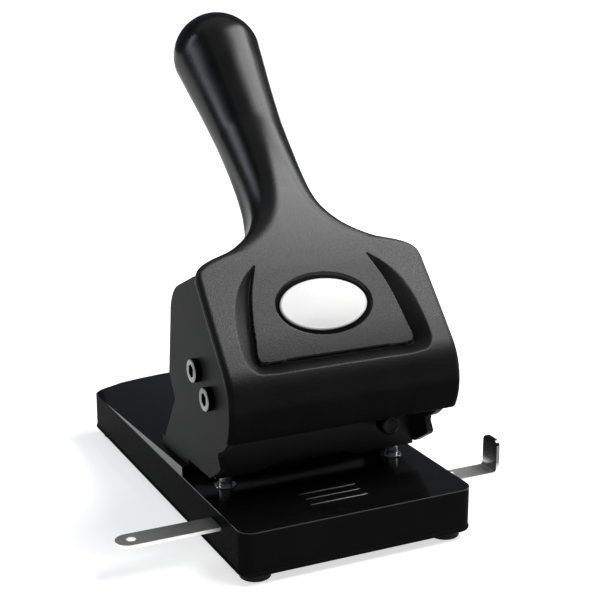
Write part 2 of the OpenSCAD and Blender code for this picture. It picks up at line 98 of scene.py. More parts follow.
def speckle(tree, place, size, detail=2.0, stretch=None):
    """Noise whose blots are about size mm across, drawn out along an axis by stretch = (x, y, z)."""
    if stretch is not None:
        mapping = tree.nodes.new("ShaderNodeMapping")
        mapping.inputs["Scale"].default_value = stretch
        tree.links.new(place, mapping.inputs["Vector"])
        place = mapping.outputs["Vector"]
    noise = tree.nodes.new("ShaderNodeTexNoise")
    noise.inputs["Scale"].default_value = 1 / (size * MM)
    noise.inputs["Detail"].default_value = detail
    tree.links.new(place, noise.inputs["Vector"])
    return noise.outputs["Fac"]


def between(tree, value, low, high, start=0.3, end=0.7):
    """value from start to end is carried to low to high, and held there outside."""
    span = tree.nodes.new("ShaderNodeMapRange")
    span.inputs["From Min"].default_value = start
    span.inputs["From Max"].default_value = end
    span.inputs["To Min"].default_value = low
    span.inputs["To Max"].default_value = high
    tree.links.new(value, span.inputs["Value"])
    return span.outputs["Result"]


def tinted(tree, value, dark, light, start=0.3, end=0.7):
    """A colour that runs from dark to light as value runs from start to end."""
    ramp = tree.nodes.new("ShaderNodeValToRGB")
    ramp.color_ramp.elements[0].position = start
    ramp.color_ramp.elements[1].position = end
    ramp.color_ramp.elements[0].color = (*dark, 1)
    ramp.color_ramp.elements[1].color = (*light, 1)
    tree.links.new(value, ramp.inputs["Fac"])
    return ramp.outputs["Color"]


def raised(tree, shader, height, depth, under=None):
    """Relief on the surface: height from 0 to 1 stands for depth mm, over any relief under it."""
    bump = tree.nodes.new("ShaderNodeBump")
    bump.inputs["Strength"].default_value = 1
    bump.inputs["Distance"].default_value = depth * MM
    tree.links.new(height, bump.inputs["Height"])
    if under is not None:
        tree.links.new(under, bump.inputs["Normal"])
    tree.links.new(bump.outputs["Normal"], shader.inputs["Normal"])
    return bump.outputs["Normal"]


def painted(piece, material):
    """Gives a piece one finish all over."""
    piece.data.materials.clear()
    piece.data.materials.append(material)
    return piece


def surface(name, rings, body):
    """A mesh over a grid of points in mm about the punch's middle: rows of rings, each ring closed.
    Points that fall together are joined, so a ring of one point is a pole, and faces turn outwards."""
    rows, columns = rings.shape[:2]
    points = rings.reshape(-1, 3) * MM
    points[:, 0] += punch_x
    row, column = np.meshgrid(np.arange(rows - 1), np.arange(columns), indexing="ij")
    beside = (column + 1) % columns
    quads = np.stack([row * columns + column, row * columns + beside,
                      (row + 1) * columns + beside, (row + 1) * columns + column], axis=-1)
    mesh = bpy.data.meshes.new(name)
    mesh.from_pydata(points.tolist(), [], quads.reshape(-1, 4).tolist())
    form = bmesh.new()
    form.from_mesh(mesh)
    bmesh.ops.remove_doubles(form, verts=form.verts, dist=2e-6)
    bmesh.ops.dissolve_degenerate(form, edges=form.edges, dist=1e-7)
    bmesh.ops.recalc_face_normals(form, faces=form.faces)
    form.to_mesh(mesh)
    form.free()
    mesh.shade_smooth()
    piece = bpy.data.objects.new(name, mesh)
    bpy.context.scene.collection.objects.link(piece)
    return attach(piece, body) if body else piece


def stoved_enamel():
    """Dipped black enamel, deep and glossy on the table and deck. Down the skirts the reflection is all but
    turned off as painted shade, the gloss is rougher and the tint a little lighter.
    """
    material, tree, shader, place = finish("gloss_black_enamel")
    split = tree.nodes.new("ShaderNodeSeparateXYZ")
    tree.links.new(place, split.inputs["Vector"])
    up = split.outputs["Z"]
    table_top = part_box("table_label")[0].z
    low, high = table_top - 0.6 * MM, table_top - 0.1 * MM
    cloud = speckle(tree, place, 22, 4)
    fine = speckle(tree, place, 1.6, 3)
    coat = tree.nodes.new("ShaderNodeMix")
    coat.data_type = "RGBA"
    tree.links.new(between(tree, up, 0, 1, low, high), coat.inputs["Factor"])
    tree.links.new(tinted(tree, cloud, (0.0075, 0.0075, 0.0078), (0.0095, 0.0095, 0.0098)), coat.inputs["A"])
    tree.links.new(tinted(tree, cloud, (0.0036, 0.0036, 0.0038), (0.0052, 0.0052, 0.0054)), coat.inputs["B"])
    tree.links.new(coat.outputs["Result"], shader.inputs["Base Color"])
    haze = tree.nodes.new("ShaderNodeMath")
    haze.operation = "ADD"
    tree.links.new(between(tree, up, 0.24, 0.12, low, high), haze.inputs[0])
    tree.links.new(between(tree, fine, 0.0, 0.07), haze.inputs[1])
    tree.links.new(haze.outputs["Value"], shader.inputs["Roughness"])
    # Painted shade: below the table's edge the reflection falls to almost none, so the skirts stay dark.
    tree.links.new(between(tree, up, 0.003, 0.40, low, high), shader.inputs["Specular IOR Level"])
    relief = raised(tree, shader, speckle(tree, place, 14, 1), 0.03)
    raised(tree, shader, fine, 0.004, relief)
    return material


gloss_enamel = stoved_enamel()
painted(eased("base_shell", 0.6, 4), gloss_enamel)


def round_corner_path(half_w, half_l, radius, steps=14):
    """A rectangle with round corners, walked once round, with the outward direction at each point."""
    turn = np.linspace(0, np.pi / 2, steps)
    turns = np.concatenate([turn + quarter * np.pi / 2 for quarter in range(4)])
    side = np.repeat([[1, 1], [-1, 1], [-1, -1], [1, -1]], steps, axis=0)
    outward = np.stack([np.cos(turns), np.sin(turns)], axis=1)
    return side * [half_w - radius, half_l - radius] + radius * outward, outward


half_w = (base_high.x - base_low.x) / 2 / MM
half_l = (base_high.y - base_low.y) / 2 / MM
skirt_z = base_low.z / MM
corner_r = 6
path, outward = round_corner_path(half_w, half_l, corner_r)
bead_turn = np.linspace(0, 2 * np.pi, 13)[:-1]
bead_out = -0.25 + 0.65 * np.cos(bead_turn)
bead_up = skirt_z + 1.0 + 0.95 * np.sin(bead_turn)
bead = np.zeros((len(path) + 1, len(bead_turn), 3))
ring_path = np.vstack([path, path[:1]])
ring_out = np.vstack([outward, outward[:1]])
bead[..., :2] = ring_path[:, None] + ring_out[:, None] * bead_out[None, :, None]
bead[..., 2] = bead_up
painted(surface("skirt_bead", bead, "stand"), gloss_enamel)

# The chip tray closes the base from below: moulded black plastic with a fine matt texture,
# pushed in between the skirts and pulled down to empty it.


def paint(name, dark, light, gloss, matt, grain, depth, level=0.5):
    """Paint, plastic or rubber: a cloudy tint from dark to light, and a grain of the given size and depth
    in mm that runs from gloss to matt."""
    material, tree, shader, place = finish(name)
    cloud = speckle(tree, place, 22, 4)
    fine = speckle(tree, place, grain, 3)
    tree.links.new(tinted(tree, cloud, dark, light), shader.inputs["Base Color"])
    tree.links.new(between(tree, fine, gloss, matt), shader.inputs["Roughness"])
    shader.inputs["Specular IOR Level"].default_value = level
    raised(tree, shader, fine, depth)
    return material


tray_black = paint("moulded_tray_black", (0.006, 0.006, 0.006), (0.010, 0.010, 0.010), 0.46, 0.58, 0.7, 0.03,
                   level=0.25)
painted(eased("chip_tray", 0.6), tray_black)

# Four rubber feet, moulded with a rounded sole, stand under the base's corners. Each is held by a
# bright zinc plated screw from below, sunk in the foot's recess.
foot_rubber = paint("foot_rubber", (0.005, 0.005, 0.005), (0.009, 0.009, 0.0085), 0.62, 0.80, 0.9, 0.03,
                    level=0.22)
painted(eased("rubber_feet", 1.3, 4), foot_rubber)


def plated(name, dark, light, gloss, matt, grain, stretch, depth):
    """Bare or plated metal: fine drawn lines along the axis that stretch leaves short, cloudy gloss."""
    material, tree, shader, place = finish(name)
    cloud = speckle(tree, place, 11, 4)
    line = speckle(tree, place, grain, 2, stretch)
    tree.links.new(tinted(tree, cloud, dark, light), shader.inputs["Base Color"])
    tree.links.new(between(tree, line, gloss, matt), shader.inputs["Roughness"])
    shader.inputs["Metallic"].default_value = 1
    raised(tree, shader, line, depth)
    return material


zinc = plated("bright_zinc", (0.56, 0.56, 0.57), (0.70, 0.70, 0.71), 0.20, 0.32, 0.5, (1, 1, 1), 0.006)
painted(eased("foot_screws", 0.2, 2), zinc)

# Two hardened die bushes are pressed into the table under the pins. They are turned and ground steel,
# and their flanges stand just proud of the enamel.
ground_steel = plated("ground_steel", (0.60, 0.60, 0.61), (0.74, 0.74, 0.75), 0.16, 0.26, 0.25, (1, 1, 0.08),
                      0.004)
painted(eased("die_bushes", 0.18, 3), ground_steel)

# The table label is a thin black foil stuck on the enamel between the dies. Three light rules are
# printed on it, and nothing else.
foil = paint("label_foil", (0.0035, 0.0035, 0.0037), (0.0055, 0.0055, 0.0057), 0.30, 0.38, 0.8, 0.008,
             level=0.25)
painted(nodes["table_label"], foil)
label_low, label_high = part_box("table_label")
rule_ink = paint("label_rule_ink", (0.34, 0.34, 0.35), (0.42, 0.42, 0.43), 0.40, 0.50, 0.5, 0.01)


def rule(name, y, x0, x1, slant, thick):
    """A printed rule with slanted ends, laid a hair above the foil, as a flat closed strip."""
    top = label_high.z / MM + 0.03
    outline = np.array([[x0 - slant, y - thick / 2], [x1 - slant, y - thick / 2],
                        [x1 + slant, y + thick / 2], [x0 + slant, y + thick / 2]])
    levels = np.array([top - 0.02, top - 0.02, top, top])
    shrink = np.array([0, 1, 1, 0])
    middle = np.array([(x0 + x1) / 2, y])
    strip = np.zeros((4, 4, 3))
    strip[..., :2] = middle + (outline - middle)[None] * shrink[:, None, None]
    strip[..., 2] = levels[:, None]
    return painted(surface(name, strip, "stand"), rule_ink)


label_x0 = (label_low.x - punch_x) / MM
label_x1 = (label_high.x - punch_x) / MM
label_y = (label_low.y + label_high.y) / 2 / MM
for number, (offset, trim) in enumerate([(-5.6, 0.5), (0.2, 1.2), (5.6, 0.5)]):
    rule(f"label_rule_{number}", label_y + offset, label_x0 + trim, label_x1 - trim, 0.5, 0.55)

# Two side plates of thick steel sheet stand on the deck, each with two tabs through it.
# They are blanked with a slightly rounded edge and sprayed satin black.
satin_plate = paint("satin_black_plate", (0.0150, 0.0150, 0.0151), (0.0190, 0.0190, 0.0192), 0.40, 0.50,
                    0.8, 0.012, level=0.035)
for plate in ("left_side_plate", "right_side_plate"):
    painted(eased(plate, 0.45), satin_plate)

# The guide block joins the plates above the paper throat and guides both pins: machined steel,
# blacked, with rounded edges and a shallow arch along its front.
blacked_steel = paint("blacked_steel", (0.0012, 0.0012, 0.0014), (0.0030, 0.0030, 0.0032), 0.34, 0.46, 0.6,
                      0.012, level=0.12)
painted(eased("guide_block", 0.7), blacked_steel)

# The pivot shaft runs between the plates and is drawn up by a socket head screw at each end;
# two more screws hold the block's rear posts. The low heads are blacked, with bright ground faces.
painted(eased("pivot_shaft", 0.4), ground_steel)
plate_out = (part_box("right_side_plate")[1].x - punch_x) / MM
ground_face = plated("ground_screw_face", (0.13, 0.13, 0.13), (0.38, 0.38, 0.37), 0.30, 0.50, 0.35, (1, 1, 1),
                     0.03)


def screw_heads(name, replaced):
    """Two socket heads, one on each plate: a profile turned round the screw's axis, from the bottom
    of the six-sided socket up its wall, over the chamfered face and down the knurled side."""
    low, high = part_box(replaced)
    centre = np.array([low.y + high.y, low.z + high.z]) / 2 / MM
    columns = 240
    turn = np.arange(columns) * 2 * np.pi / columns
    flat = (turn + np.pi / 6) % (np.pi / 3) - np.pi / 6
    hexagon = 2.5 / np.cos(flat)
    knurl = 0.14 * np.abs(np.sin(turn * 30))
    whole = np.ones(columns)
    radius = [0 * whole, 0.55 * hexagon, hexagon, hexagon, hexagon + 0.22, 3.35 * whole, 4.25 * whole,
              4.5 * whole, 4.72 * whole, 4.9 * whole, 5.0 - knurl, 5.0 - knurl, 4.9 * whole, 4.7 * whole,
              0 * whole]
    height = [1.2, 1.25, 1.4, 2.98, 3.2, 3.2, 3.2, 3.17, 3.08, 2.9, 2.6, 0.5, 0.3, 0.02, 0.02]
    head = np.zeros((len(radius), columns, 3))
    head[..., 0] = plate_out + np.array(height)[:, None]
    head[..., 1] = centre[0] + np.array(radius) * np.cos(turn)
    head[..., 2] = centre[1] + np.array(radius) * np.sin(turn)
    both = []
    for side in (1, -1):
        part = head.copy()
        part[..., 0] *= side
        both.append(surface(f"{name}_{'right' if side > 0 else 'left'}", part, "stand"))
    for piece in both:
        split = piece.modifiers.new("crisp edges", "EDGE_SPLIT")
        split.split_angle = np.radians(40)
        painted(piece, blacked_steel)
        piece.data.materials.append(ground_face)
        centres = np.zeros(len(piece.data.polygons) * 3)
        piece.data.polygons.foreach_get("center", centres)
        out = np.abs(centres.reshape(-1, 3)[:, 0] - punch_x) / MM - plate_out
        across = np.hypot(*(centres.reshape(-1, 3)[:, 1:] / MM - centre).T)
        bright = (out > 2.95) & (across > 2.5) & (across < 4.85)
        piece.data.polygons.foreach_set("material_index", bright.astype(np.int32))
    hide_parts(replaced)


screw_heads("pivot_screw", "pivot_screws")
screw_heads("block_screw", "block_screws")

# The lever is one aluminium casting: a hood that wraps the plates' noses, a flat sloping front with
# a groove and an oval seat for the badge, shoulders that draw in to a neck, and a round-ended grip.
# It is powder coated black: finely grained on the hood, rubbed smooth on the grip.
pivot = np.array([-56.8, 66.4])
hood_r = 26.5
wall = 3.5
hood_half = 52.2
hood_foot = np.radians(208)
panel_angle = np.radians(48)
up_panel = np.array([np.cos(panel_angle), np.sin(panel_angle)])
off_panel = np.array([-np.sin(panel_angle), np.cos(panel_angle)])
panel_foot = pivot + hood_r * off_panel
neck = np.array([-15.1, 132.0])
grip_end = np.array([51.6, 191.5])
grip_r = 20.1
grip_len = np.linalg.norm(grip_end - neck)
up_grip = (grip_end - neck) / grip_len
off_grip = np.array([-up_grip[1], up_grip[0]])
flat_v = 40.0
round_s = 40.0


def curve_through(xs, ys, x):
    """A smooth curve through given points: cubic pieces whose slopes are the neighbours' mean slopes."""
    xs, ys, x = (np.asarray(a, float) for a in (xs, ys, x))
    slope = np.gradient(ys, xs)
    k = np.clip(np.searchsorted(xs, x) - 1, 0, len(xs) - 2)
    gap = xs[k + 1] - xs[k]
    t = np.clip((x - xs[k]) / gap, 0, 1)
    return ((2 * t**3 - 3 * t**2 + 1) * ys[k] + (t**3 - 2 * t**2 + t) * gap * slope[k]
            + (3 * t**2 - 2 * t**3) * ys[k + 1] + (t**3 - t**2) * gap * slope[k + 1])


def ease(t):
    """0 to 1 with level ends."""
    t = np.clip(t, 0, 1)
    return t * t * (3 - 2 * t)


def hermite(start, end, start_way, end_way, t):
    """A cubic from start to end that leaves and arrives along the given ways."""
    t = t[:, None]
    return ((2 * t**3 - 3 * t**2 + 1) * start + (t**3 - 2 * t**2 + t) * start_way
            + (3 * t**2 - 2 * t**3) * end + (t**3 - t**2) * end_way)


fine_points, coarse_points = 150, 30


def half_sections(top, under, half, corner, drop, corner_low, drop_low):
    """Right half of each station's section, from the top middle to the under middle: a rectangle with
    elliptic corners, half wide and as high as top is from under. Points are even along the outline,
    fine_points of them to the foot of the top corner and coarse_points of them from there on."""
    height = np.linalg.norm(top - under, axis=1)
    quarter = np.linspace(0, np.pi / 2, 24)
    x_parts, z_parts = [], []
    for i in range(len(half)):
        h, w = height[i], half[i]
        drop_i = min(drop[i], h)
        drop_l = min(drop_low[i], max(h - drop_i, 0))
        x_top = np.concatenate([[0], w - corner[i] + corner[i] * np.sin(quarter)])
        z_top = np.concatenate([[h], h - drop_i + drop_i * np.cos(quarter)])
        x_low = np.concatenate([w - corner_low[i] + corner_low[i] * np.cos(quarter), [0]])
        z_low = np.concatenate([drop_l - drop_l * np.sin(quarter), [0]])
        x_low, z_low = np.concatenate([x_top[-1:], x_low]), np.concatenate([z_top[-1:], z_low])
        out = []
        for x, z, count in ((x_top, z_top, fine_points), (x_low, z_low, coarse_points)):
            walk = np.concatenate([[0], np.cumsum(np.hypot(np.diff(x), np.diff(z)))])
            even = np.linspace(0, walk[-1], count)
            out.append((np.interp(even, walk, x), np.interp(even, walk, z)))
        x_parts.append(np.concatenate([out[0][0], out[1][0][1:]]))
        z_parts.append(np.concatenate([out[0][1], out[1][1][1:]]))
    return np.array(x_parts), np.array(z_parts), height


def inside_distance(outline, x, y):
    """Distance from the outline of a closed polygon, positive inside it."""
    start, end = outline, np.roll(outline, -1, axis=0)
    p = np.stack([x.ravel(), y.ravel()], axis=1)[:, None]
    along = end - start
    t = np.clip(np.sum((p - start) * along, axis=2) / np.sum(along**2, axis=1), 0, 1)
    gap = np.min(np.linalg.norm(start + t[..., None] * along - p, axis=2), axis=1)
    rises = (start[:, 1] <= p[..., 1]) != (end[:, 1] <= p[..., 1])
    rise = np.where(along[:, 1] == 0, 1e-9, along[:, 1])
    cross = start[:, 0] + (p[..., 1] - start[:, 1]) / rise * along[:, 0]
    inside = np.sum(rises & (cross > p[..., 0]), axis=1) % 2 == 1
    return np.where(inside, gap, -gap).reshape(x.shape)


def rounded_outline(corners, steps=8):
    """A closed outline through the corners of the right half and their mirror images, made smooth."""
    corners = np.array(corners)
    walk = np.concatenate([[0], np.cumsum(np.linalg.norm(np.diff(corners, axis=0), axis=1))])
    even = np.linspace(0, walk[-1], steps * len(corners))
    half = np.stack([curve_through(walk, corners[:, axis], even) for axis in (0, 1)], axis=1)
    return np.concatenate([half, half[-1:0:-1] * [-1, 1]])


groove_outer = rounded_outline([[0, -4.4], [20, -4.4], [33, -4.3], [39, -3.2], [42, 0.5], [42.8, 8],
                                [42.3, 16], [40.6, 25], [36.9, 33.5], [31.5, 40], [25.5, 44.6]])
groove_inner = rounded_outline([[0, 2.2], [20, 2.2], [33, 2.2], [34.9, 2.7], [35.3, 4.2], [34.5, 11],
                                [32.7, 23], [29.8, 34], [27.6, 39.5], [25.5, 44.6]])
field_top = 44.6
field_tilt = np.radians(3.9)
badge_v = 24.0
seat_half = (21.6, 13.4)


def field_depth(v):
    """How far the field inside the groove lies below the front: it starts level at its top, bends over
    the first 5 mm and then sinks evenly by its tilt towards its lower edge."""
    bend = 5
    down = np.clip(field_top - v, 0, 60)
    return np.tan(field_tilt) * np.where(down < bend, down**2 / (2 * bend), down - bend / 2)


def front_relief(x, v):
    """Depth of the groove and of the badge's seat below the hood's front: the field inside the groove
    sinks towards its lower edge, the groove falls evenly from its rounded outer lip to the field's
    steep wall, and the seat is an oval step in the field."""
    groove_drop, lip_round, wall_run, seat_drop = 2.3, 0.14, 0.45, 1.5
    outer, inner = inside_distance(groove_outer, x, v), inside_distance(groove_inner, x, v)
    field = field_depth(v)
    share = np.clip(outer / np.maximum(outer - np.minimum(inner, 0), 1e-6), 0, 1)
    groove = (field + groove_drop) * (1 + lip_round) * share**2 / (share + lip_round)
    inside = ease((inner + wall_run) / wall_run)
    oval = np.hypot(x / seat_half[0], (v - badge_v) / seat_half[1])
    seat = seat_drop * (1 - ease((oval - 0.985) / 0.03))
    return np.where(outer > 0, groove + (field + seat - groove) * inside, 0)


def lever_stations():
    """The lever's length as stations: top and under middles in [y, z], half width, top and under corner
    sizes, and the distance v up the front. The lip, the barrel round the pivot, the flat front, the
    shoulders that run on into the neck and grow round, and the grip with its round end follow."""
    lip = np.linspace(0, np.pi / 2, 7)[:-1]
    lip_size = 1.3 / hood_r
    groove_start, barrel_end = np.radians(152), panel_angle + np.pi / 2
    barrel = np.concatenate([np.linspace(hood_foot - lip_size, groove_start, 24)[:-1],
                             np.linspace(groove_start, barrel_end, 20)[:-1]])
    angle = np.concatenate([hood_foot - lip_size * (1 - np.cos(lip)), barrel])
    opened = np.concatenate([np.sin(lip), np.ones(len(barrel))])
    way = np.stack([np.cos(angle), np.sin(angle)], axis=1)
    middle = hood_r - wall / 2
    top = [pivot + way * (middle + wall / 2 * opened)[:, None]]
    under = [pivot + way * (middle - wall / 2 * opened)[:, None]]
    front = np.linspace(0, flat_v, 102)
    top.append(panel_foot + front[:, None] * up_panel)
    under.append(top[-1] - wall * off_panel)

    along = np.linspace(0, grip_len, 41)
    radius_s = [0, 12, 22, 32, 42, 52, 62, 68, 74, 80, 85, grip_len]
    radius_at = [14.4, 14.45, 14.7, 15.1, 15.65, 16.4, 17.25, 17.85, 18.5, 19.1, 19.6, grip_r]
    radius = curve_through(radius_s, radius_at, along)
    t = np.concatenate([np.linspace(0, 0.3, 58)[1:], np.linspace(0.3, 1, 32)[1:-1]])
    round_r = np.interp(round_s, along, radius)
    start, end = top[-1][-1], neck + round_s * up_grip + round_r * off_grip
    span = np.linalg.norm(end - start)
    top.append(hermite(start, end, up_panel * span, up_grip * span, t))
    neck_t = 0.49
    under_neck = neck - off_grip * radius[0]
    rising = hermite(under[-1][-1], under_neck, up_panel * 12, up_grip * 34, np.minimum(t / neck_t, 1))
    past = round_s * np.clip((t - neck_t) / (1 - neck_t), 0, 1)
    straight = neck + past[:, None] * up_grip - np.interp(past, along, radius)[:, None] * off_grip
    under.append(np.where(t[:, None] < neck_t, rising, straight))

    kept = along >= round_s
    along, radius = along[kept], radius[kept]
    cap = np.linspace(0, np.pi / 2, 17)[1:]
    along = np.concatenate([along, grip_len + grip_r * np.sin(cap)])
    radius = np.concatenate([radius, grip_r * np.cos(cap)])
    axis = neck + along[:, None] * up_grip
    top.append(axis + radius[:, None] * off_grip)
    under.append(axis - radius[:, None] * off_grip)

    barrel_v = -hood_r * (angle - barrel_end)
    top, under = np.concatenate(top), np.concatenate(under)
    v = np.concatenate([barrel_v, (top[len(angle):] - panel_foot) @ up_panel])
    width_v = [-60, 37, 41, 43.4, 45.5, 47.3, 49.3, 50.9, 52, 53, 54.4, 57, 61.2, 66.5, 72, 78,
               88, 98, 108, 117, 300]
    width = [hood_half, hood_half, 52.1, 51.6, 50.8, 49.3, 46.2, 42.4, 39, 36, 33, 28.8, 23.6, 19.4, 16.6,
             15.2, 14.6, 14.8, 15.15, 15.55, 15.55]
    half = curve_through(width_v, width, np.minimum(v, 299))
    half[-len(along):] = radius
    height = np.linalg.norm(top - under, axis=1)
    round_from, round_over = 44, 76
    rounding = np.clip((v - round_from) / round_over, 0, 1)
    full = 1 - (1 - rounding) ** 2
    full[-len(along):] = 1
    slope = np.zeros(len(v))
    drawn_in = np.arange(len(v)) < len(v) - len(along)
    slope[drawn_in] = np.abs(np.gradient(half[drawn_in], v[drawn_in]))
    edge_in, edge_down, rim_in, rim_up = 2.8, 2.2, 0.5, 0.28
    corner = np.minimum(edge_in * np.sqrt(1 + slope**2), half)
    corner = corner + (half - corner) * full
    drop = np.minimum(edge_down, height * 0.92)
    drop = drop + (height / 2 - drop) * full
    corner_low = rim_in + (half - rim_in) * full
    drop_low = np.minimum(rim_up, height * 0.08)
    drop_low = drop_low + (height / 2 - drop_low) * full
    return top, under, half, corner, drop, corner_low, drop_low, v


def lever_rings():
    """Closed rings of the lever's skin: each half section with the front's relief taken from its top
    and the thickening under the front added below, then its mirror image."""
    top, under, half, corner, drop, corner_low, drop_low, v = lever_stations()
    x, z, height = half_sections(top, under, half, corner, drop, corner_low, drop_low)
    grid_v = np.repeat(v[:, None], x.shape[1], axis=1)
    rows = (v > -6) & (v < 47)
    relief = np.zeros_like(x)
    relief[rows, :fine_points] = front_relief(x[rows, :fine_points], grid_v[rows, :fine_points])
    pad_t, pad_half, pad_low, pad_high = 4.0, 45.6, -8, 42
    pad = pad_t * ease((pad_half - x) / 1.2) * ease((grid_v - pad_low) / 3) * ease((pad_high - grid_v) / 3)
    pad[:, :fine_points + 2] = 0
    z = z - relief - pad
    way = (top - under) / np.maximum(height, 1e-9)[:, None]
    way[height < 1e-6] = off_grip
    side = np.zeros(x.shape + (3,))
    side[..., 0] = x
    side[..., 1:] = under[:, None] + z[..., None] * way[:, None]
    mirrored = side[:, -2:0:-1] * [-1, 1, 1]
    return np.concatenate([side, mirrored], axis=1)


def lever_coat():
    """Powder coat: grey-black and finely pebbled on the hood, blacker and smoother up the grip. Its sheen is
    painted shade in two ways: it fades towards the barrel's foot, and it drops to 0.12 on the underside."""
    material, tree, shader, place = finish("black_powder_coat")
    split = tree.nodes.new("ShaderNodeSeparateXYZ")
    tree.links.new(place, split.inputs["Vector"])
    on_grip = between(tree, split.outputs["Z"], 0, 1, 0.118, 0.150)
    cloud = speckle(tree, place, 16, 4)
    pebble = speckle(tree, place, 0.55, 2)
    hood_tint = tinted(tree, cloud, (0.0042, 0.0042, 0.0045), (0.0064, 0.0064, 0.0068))
    grip_tint = tinted(tree, cloud, (0.0012, 0.0012, 0.0014), (0.0022, 0.0022, 0.0025))
    # Painted shade: the sheen fades from 94 mm down to 52 mm, darkening the barrel's lower part.
    sheen_shaded_low = between(tree, split.outputs["Z"], 0.02, 0.30, 0.052, 0.094)
    sheen = tree.nodes.new("ShaderNodeMix")
    tree.links.new(on_grip, sheen.inputs["Factor"])
    tree.links.new(sheen_shaded_low, sheen.inputs["A"])
    sheen.inputs["B"].default_value = 0.34
    # Painted shade: from 5 mm above the grip's axis to 3 mm below it the sheen drops to 0.12, dimming the
    # floor's reflection underneath.
    toward_top = tree.nodes.new("ShaderNodeVectorMath")
    toward_top.operation = "DOT_PRODUCT"
    tree.links.new(place, toward_top.inputs[0])
    toward_top.inputs[1].default_value = (0, *off_grip)
    axis_at = float(neck @ off_grip) * MM
    shaded_sheen = tree.nodes.new("ShaderNodeMath")
    shaded_sheen.operation = "MULTIPLY"
    tree.links.new(sheen.outputs["Result"], shaded_sheen.inputs[0])
    shade_by_place = between(tree, toward_top.outputs["Value"], 0.12, 1, axis_at - 3 * MM, axis_at + 5 * MM)
    tree.links.new(shade_by_place, shaded_sheen.inputs[1])
    tree.links.new(shaded_sheen.outputs["Value"], shader.inputs["Specular IOR Level"])
    mix = tree.nodes.new("ShaderNodeMix")
    mix.data_type = "RGBA"
    tree.links.new(on_grip, mix.inputs["Factor"])
    tree.links.new(hood_tint, mix.inputs["A"])
    tree.links.new(grip_tint, mix.inputs["B"])
    tree.links.new(mix.outputs["Result"], shader.inputs["Base Color"])
    rough = tree.nodes.new("ShaderNodeMix")
    tree.links.new(on_grip, rough.inputs["Factor"])
    tree.links.new(between(tree, pebble, 0.34, 0.46), rough.inputs["A"])
    tree.links.new(between(tree, cloud, 0.22, 0.28), rough.inputs["B"])
    tree.links.new(rough.outputs["Result"], shader.inputs["Roughness"])
    strength = tree.nodes.new("ShaderNodeMath")
    strength.operation = "MULTIPLY"
    tree.links.new(pebble, strength.inputs[0])
    tree.links.new(between(tree, on_grip, 1.0, 0.25, 0, 1), strength.inputs[1])
    raised(tree, shader, strength.outputs["Value"], 0.06)
    return material


powder_coat = lever_coat()
lever = painted(surface("lever_casting_skin", lever_rings(), "lever"), powder_coat)
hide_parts("lever_casting")


def reach(outline, turn):
    """How far a closed outline, given from the pivot, reaches along each direction."""
    start, end = outline, np.roll(outline, -1, axis=0)
    way = np.stack([np.cos(turn), np.sin(turn)], axis=1)[:, None]
    along = end - start
    cross = way[..., 0] * along[:, 1] - way[..., 1] * along[:, 0]
    cross = np.where(np.abs(cross) < 1e-9, 1e-9, cross)
    far = (start[:, 0] * along[:, 1] - start[:, 1] * along[:, 0]) / cross
    part = (start[:, 0] * way[..., 1] - start[:, 1] * way[..., 0]) / cross
    hit = (part >= -1e-6) & (part <= 1 + 1e-6) & (far > 0)
    return np.max(np.where(hit, far, 0), axis=1)


def hub_rib(name, side):
    """A rib under the hood: its outline about the pivot is the widest of the hub, the web up to the
    front and the arm of the drive rod, with a bore for the bush and rounded rims."""
    hub_r, bore_r, rod_arm, boss_r = 10.0, 6.62, 12, 6.5
    turn = np.linspace(0, 2 * np.pi, 361)[:-1]
    web_angles = np.radians([202, 165, 153, 141])
    web_far = np.array([23.3, 23.3, 21.5, 20.2])[:, None]
    web = np.concatenate([[[0, 0]], web_far * np.stack([np.cos(web_angles), np.sin(web_angles)], axis=1),
                          np.array([[-50.8, 106.7], [-50, 74]]) - pivot])
    rod_turn = np.radians(-16)
    rod = rod_arm * np.array([np.cos(rod_turn), np.sin(rod_turn)])
    boss_turn = np.linspace(0, 2 * np.pi, 61)[:-1]
    boss = rod + boss_r * np.stack([np.cos(boss_turn), np.sin(boss_turn)], axis=1)
    hub = np.full(len(turn), hub_r)
    far = np.max([hub, reach(web, turn), reach(boss, turn)], axis=0)
    ring = np.concatenate([far[-3:], far, far[:3]])
    far = np.mean([ring[k:k + len(turn)] for k in range(7)], axis=0)
    bore = np.full(len(turn), bore_r)
    radius = [bore, bore + 0.3, far - 0.6, far - 0.15, far, far, far - 0.15, far - 0.6, bore + 0.3, bore,
              bore]
    place = [12.3, 12, 12, 12.15, 12.6, 21.4, 21.85, 22, 22, 21.7, 12.3]
    ring = np.zeros((len(radius), len(turn), 3))
    ring[..., 0] = side * np.array(place)[:, None]
    ring[..., 1] = pivot[0] + np.array(radius) * np.cos(turn)
    ring[..., 2] = pivot[1] + np.array(radius) * np.sin(turn)
    piece = surface(name, ring, "lever")
    split = piece.modifiers.new("crisp edges", "EDGE_SPLIT")
    split.split_angle = np.radians(40)
    return painted(piece, powder_coat)


hub_rib("lever_rib_right", 1)
hub_rib("lever_rib_left", -1)

# Plain bronze bushes are pressed into the lever's hubs and turn on the shaft. A ground steel rod through
# both ribs bears on the pin carrier.
bearing_bronze = plated("bearing_bronze", (0.42, 0.27, 0.11), (0.55, 0.37, 0.17), 0.26, 0.40, 0.4,
                        (0.1, 1, 1), 0.006)
painted(eased("lever_bushes", 0.3, 2), bearing_bronze)
painted(eased("drive_rod", 0.5), ground_steel)

# The badge is a bare oval of white enamelled metal, slightly domed with a turned-down rim. It sits in its
# seat on the hood's front, with a flat black ring round the white.
badge_enamel = paint("badge_white_enamel", (0.68, 0.68, 0.67), (0.72, 0.72, 0.71), 0.16, 0.24, 1.2, 0.004)
ring_black = paint("badge_black_ring", (0.0010, 0.0010, 0.0011), (0.0018, 0.0018, 0.0019), 0.5, 0.6, 0.8,
                      0.02, level=0.1)
badge_half = np.array([19.75, 11.3])


